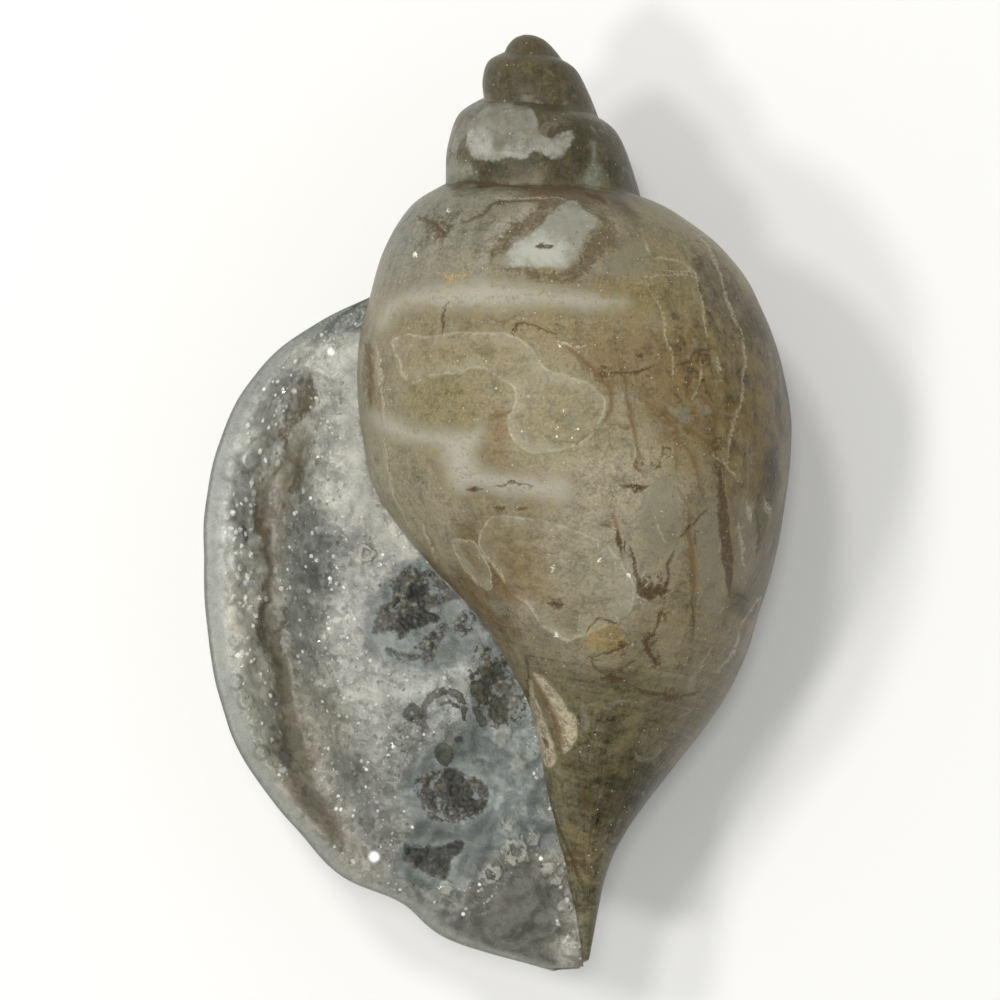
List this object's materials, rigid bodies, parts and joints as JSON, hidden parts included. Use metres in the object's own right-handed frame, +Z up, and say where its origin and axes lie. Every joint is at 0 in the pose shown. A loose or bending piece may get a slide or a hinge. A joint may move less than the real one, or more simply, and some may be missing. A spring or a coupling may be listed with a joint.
{
  "type": "fossil sea snail",
  "caption": "Silicified fossil sea snail, its low spire and big body whorl cast in chalcedony, its mouth lined with a crust of quartz crystals.",
  "frame": {"origin": "centre of the small flat spot on the back that the fossil lies on", "axes": "+Y along the coiling axis towards the apex, +Z up out of the mouth's face, +X away from the outer lip"},
  "size_m": [0.0537, 0.0842, 0.0438],
  "materials": {
    "chalcedony": "polished waxy chalcedony, cloudy and slightly see-through, khaki to grey-brown",
    "quartz": "sparkling pale grey crystals, with smooth blue-grey chalcedony beside the columella"
  },
  "bodies": {
    "root": {"shell_cast": "chalcedony", "quartz_crust": "quartz"}
  },
  "joints": []
}
